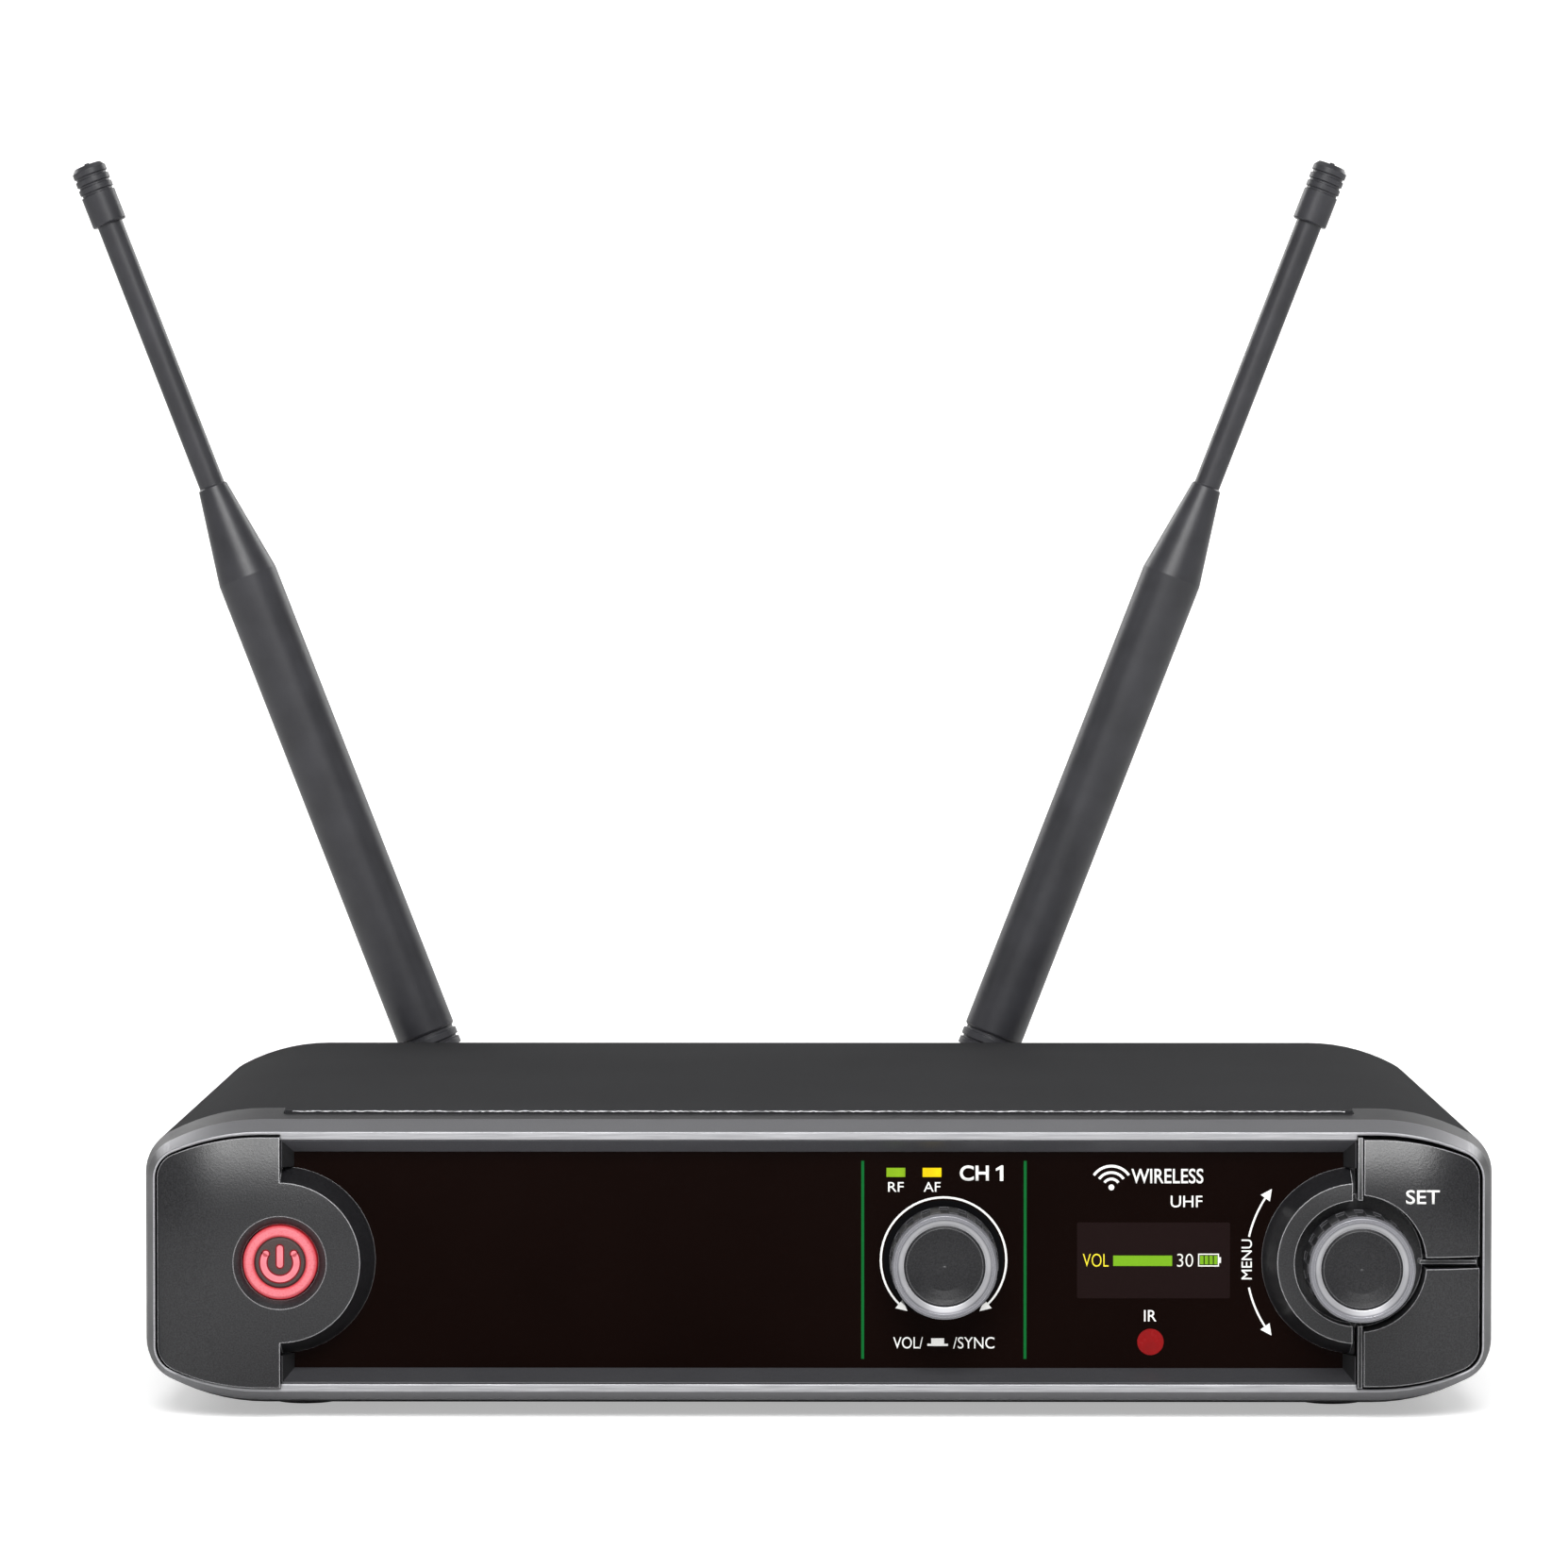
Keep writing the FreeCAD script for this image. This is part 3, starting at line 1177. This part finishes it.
def level_trimmer():
    """The output level trimmer: a fixed can and a slotted screw-driver disc."""
    x = size("trimmer_x")
    can_width, can_length, stem_radius, stem_length = 10, 8.5, 1.5, 4
    slot_width, slot_height, slot_depth, stands_out = 6.4, 1.0, 1.0, 0.8
    can = box("trimmer_can", x, rear_inner - can_length - 0.5, row_z - can_width / 2, can_width,
              can_length, can_width)
    bore = rod_along_y("trimmer_bore", x, rear_inner - stem_length, row_z,
                       stem_radius + size("running_gap"), stem_length + 1)
    cut("trimmer_case", can, bore)
    stem = rod_along_y("trimmer_stem", x, rear_inner - stem_length, row_z, stem_radius, stem_length)
    disc = rod_along_y("trimmer_disc", x, rear_inner, row_z, level_disc_radius,
                       size("rear_thick") + stands_out)
    slot = box("trimmer_slot", x, rear_face + stands_out - slot_depth, row_z - slot_height / 2,
               slot_width, slot_depth + 1, slot_height)
    cut("level_disc", fuse("trimmer_blank", [stem, disc]), slot)


def cord_hook():
    """The hook that takes the strain off the power cord."""
    x = size("inlet_x") + 13
    width, base_thick, height, arm_width, arm_thick = 7, 1.5, 12, 4, 2.2
    base = box("hook_base", x, rear_face, row_z - height / 2, width, base_thick, height)
    arm = box("hook_arm", x, rear_face + base_thick, row_z + 2.5, arm_width, arm_thick, arm_thick)
    fuse("cord_hook", [base, arm])


# ---------------------------------------------------------------- antennas
def antenna_body(label, x, side, leaning=True):
    """A body whose origin is the antenna's pivot and whose Z is the antenna's axis."""
    body = doc.addObject("PartDesign::Body", label)
    body.Label = label
    if leaning:
        lean = size("antenna_lean")
        body.Placement = Placement(Vector(0, 0, 0), Rotation(Vector(0, side, 0), lean.value))
        bind(body, "Placement.Rotation.Angle", lean)
    bind(body, "Placement.Base.x", x)
    bind(body, "Placement.Base.y", rear_face + size("antenna_reach"))
    bind(body, "Placement.Base.z", antenna_z)
    return body


def along_y(body, draw, start, length, cutting=False):
    """Grow or cut towards the rear from y = start in a body's own frame."""
    sketch = new_sketch(body, -as_length(start), "XZ_Plane")
    draw(sketch)
    if cutting:
        return pocket(body, sketch, length)
    return pad(body, sketch, length)


def across(body, draw, half, cutting=False):
    """Grow or cut to both sides of the body's YZ plane."""
    sketch = new_sketch(body, 0, "YZ_Plane")
    draw(sketch)
    kind = "PartDesign::Pocket" if cutting else "PartDesign::Pad"
    feature = body.newObject(kind, "across")
    feature.Profile = sketch
    feature.Midplane = True
    bind(feature, "Length", as_length(half) * 2)
    doc.recompute()
    return feature


def antenna_socket(name, x, side):
    """The threaded socket through the panel."""
    reach, flange_radius, flange_thick, barrel = size("antenna_reach"), 6.4, 3.4, 6.5
    socket = antenna_body(f"{name}_socket", x, side, leaning=False)
    along_y(socket, lambda sketch: draw_circle(sketch, flange_radius), -reach, flange_thick)
    along_y(socket, lambda sketch: draw_circle(sketch, size("bush_radius")), -reach - barrel, barrel)
    along_y(socket, lambda sketch: draw_circle(sketch, size("socket_bore")), -reach - barrel - 0.5,
            barrel + flange_thick + 1, cutting=True)
    return socket


def antenna_nut(name, x, side):
    """The nut on the socket, inside the panel."""
    nut_radius, thick = 6.2, 2.5
    start = -size("antenna_reach") - size("rear_thick") - thick
    nut = antenna_body(f"{name}_nut", x, side, leaning=False)
    along_y(nut, lambda sketch: draw_circle(sketch, nut_radius), start, thick)
    along_y(nut, lambda sketch: draw_circle(sketch, size("bush_radius")), start - 0.5, thick + 1,
            cutting=True)
    return nut


def antenna_elbow(name, x, side):
    """The elbow that turns in the socket, and its hinge pin."""
    reach, bore, gap = size("antenna_reach"), size("socket_bore"), size("running_gap")
    shaft_length, collar_radius, collar_start, collar_thick = 9.9, 4.9, 3.5, 1.4
    neck_half_length, neck_half_height, neck_y, eye_radius = 2.6, 4.0, 7.4, 4.4
    slot_half_length, slot_half_height, slot_y = 4.95, 6, 0.1
    fork_half, pin_radius = size("fork_half"), size("pin_radius")
    elbow = antenna_body(f"{name}_elbow", x, side)
    along_y(elbow, lambda sketch: draw_circle(sketch, bore - gap), -reach - 6.3, shaft_length)
    along_y(elbow, lambda sketch: draw_circle(sketch, collar_radius), collar_start - reach,
            collar_thick)
    across(elbow, lambda sketch: draw_box(sketch, neck_half_length, neck_half_height,
                                          neck_y - reach, 0), fork_half)
    across(elbow, lambda sketch: draw_circle(sketch, eye_radius), fork_half)
    across(elbow, lambda sketch: draw_box(sketch, slot_half_length, slot_half_height, slot_y, 0),
           size("tang_half") + size("slip"), cutting=True)
    across(elbow, lambda sketch: draw_circle(sketch, pin_radius), fork_half + 2, cutting=True)
    pin = antenna_body(f"{name}_pin", x, side)
    across(pin, lambda sketch: draw_circle(sketch, pin_radius), fork_half)


def antenna_whip(name, x, side):
    """Ribbed collar on its tang, the moulded whip, and the tip cap, all about the antenna's axis."""
    collar = antenna_body(f"{name}_collar", x, side)
    low, top, radius = 5.2, 11.65, size("sleeve_radius")
    pitch, groove_wide, groove_deep, slope = 1.7, 0.6, 0.45, 0.15
    spigot_radius, spigot_top = 3.0, top + 6
    section = [(0, low), (radius - 0.5, low), (radius, low + 0.5)]
    for number in range(3):
        start = top - pitch * (2 - number) - groove_wide
        section += [(radius, start), (radius - groove_deep, start + slope)]
        if number < 2:
            section += [(radius - groove_deep, start + groove_wide - slope),
                        (radius, start + groove_wide)]
    section += [(radius - groove_deep, top), (spigot_radius, top), (spigot_radius, spigot_top),
                (0, spigot_top)]
    turned(collar, section)
    tang_radius, tang_top = 4.1, (low + 0.2) / 2
    across(collar, lambda sketch: draw_box(sketch, tang_radius, tang_top, 0, tang_top),
           size("tang_half"))
    across(collar, lambda sketch: draw_circle(sketch, tang_radius), size("tang_half"))
    across(collar, lambda sketch: draw_circle(sketch, size("pin_radius") + size("running_gap")),
           size("fork_half") + 2, cutting=True)
    whip = antenna_body(f"{name}_whip", x, side)
    foot, shoulder, neck, tip_foot = top + size("hair"), 98.8, 115.7, 165.75
    wide, rod, rod_top = size("sleeve_radius"), size("rod_radius"), tip_foot + 4
    turned(whip, [(spigot_radius, foot), (wide - 0.3, foot), (wide, foot + 0.4), (wide, shoulder),
                  (rod + 0.35, neck), (rod, neck + 0.3), (rod, rod_top), (0, rod_top),
                  (0, spigot_top), (spigot_radius, spigot_top)])
    tip = antenna_body(f"{name}_tip", x, side)
    turned(tip, tip_section(tip_foot, rod_top))


def tip_section(foot, rod_top):
    """Half-section of the tip cap: a plain sleeve, three ring grooves and a low crown."""
    cap, rod = size("tip_radius"), size("rod_radius")
    rings, pitch, groove_wide, groove_deep, slope = 3, 1.5, 0.6, 0.3, 0.12
    rings_start = foot + 5.6
    section = [(rod, foot), (cap - 0.15, foot), (cap, foot + 0.25)]
    for number in range(rings):
        start = rings_start + pitch * number
        section += [(cap, start), (cap - groove_deep, start + slope),
                    (cap - groove_deep, start + groove_wide - slope), (cap, start + groove_wide)]
    crown, nub_radius = rings_start + pitch * rings, 0.4
    section += [(cap, crown), (cap - 0.65, crown + 0.8), (nub_radius + 0.1, crown + 0.9),
                (nub_radius, crown + 1.2), (0, crown + 1.2), (0, rod_top), (rod, rod_top)]
    return section


def antenna_cable(name, x):
    """The coaxial lead from the main board to an antenna socket."""
    reach, end, radius = rear_inner - 14, rear_inner - 5, 0.9
    upright = upright_rod(f"{name}_upright", x, reach, board_top, radius, antenna_z - board_top)
    level = rod_along_y(f"{name}_level", x, reach, antenna_z, radius, end - reach)
    bend = put(primitive("Sphere", f"{name}_bend", Radius=radius), x, reach, antenna_z)
    return fuse(name, [upright, bend, level])


# ---------------------------------------------------------------- the assembly

def build_front():
    front_trim()
    front_frame()
    front_fascia()
    display_window()
    left_pod()
    right_pod()
    end_button("set_button", 1)
    end_button("lower_button", -1)
    power_button()
    power_ring()


def build_knobs():
    for name, x, base in (("volume", size("volume_x"), size("volume_knob_base")),
                          ("menu", control_x, size("menu_knob_base"))):
        knob(f"{name}_knob", x, base)
        knob_ring(f"{name}_knob_ring", x, base)
        knob_cap(f"{name}_knob_cap", x, base)
        encoder(f"{name}_encoder", x, plunger=name == "volume")
        encoder_shaft(f"{name}_shaft", x, base)
    volume_plunger()


def build_inside():
    display_module()
    light_pipe("radio_light_pipe", size("radio_led_x"))
    light_pipe("audio_light_pipe", size("audio_led_x"))
    infrared_lens()
    front_leds()
    button_switches()
    front_board()
    standoffs()
    main_board()
    board_furniture()


def build_case():
    top_cover()
    bottom_tray()
    feet()
    upright_screws()


def build_rear():
    rear_panel()
    rear_screws()
    balanced_output()
    connector_pins()
    jack_output()
    power_inlet()
    level_trimmer()
    cord_hook()
    sockets, nuts = [], []
    for name, side in (("antenna_left", -1), ("antenna_right", 1)):
        x = size(f"{name}_x")
        sockets.append(antenna_socket(name, x, side))
        nuts.append(antenna_nut(name, x, side))
        antenna_elbow(name, x, side)
        antenna_whip(name, x, side)
    group("antenna_sockets", sockets)
    group("antenna_nuts", nuts)
    group("antenna_cables", [antenna_cable("cable_left", size("antenna_left_x")),
                             antenna_cable("cable_right", size("antenna_right_x"))])


def finished_parts():
    """Every body or Part object that no other one uses."""
    kinds = ("PartDesign::Body", "Part::")
    return [item for item in doc.Objects if item.TypeId.startswith(kinds) and not item.InList]


def check(parts):
    """Refuse to write anything from a document with a failed object or an unsound solid."""
    for item in doc.Objects:
        if "Invalid" in item.State or "Error" in item.State:
            raise ValueError(f"{item.Label} failed: {item.State}")
    for item in parts:
        if item.Shape.isNull() or not item.Shape.isValid() or not item.Shape.Solids:
            raise ValueError(f"{item.Label} has no sound shape")


build_front()
build_knobs()
build_inside()
build_case()
build_rear()
doc.recompute()
parts = finished_parts()
check(parts)
os.makedirs("parts", exist_ok=True)
for item in parts:
    item.Shape.exportStep(f"parts/{item.Label}.step")
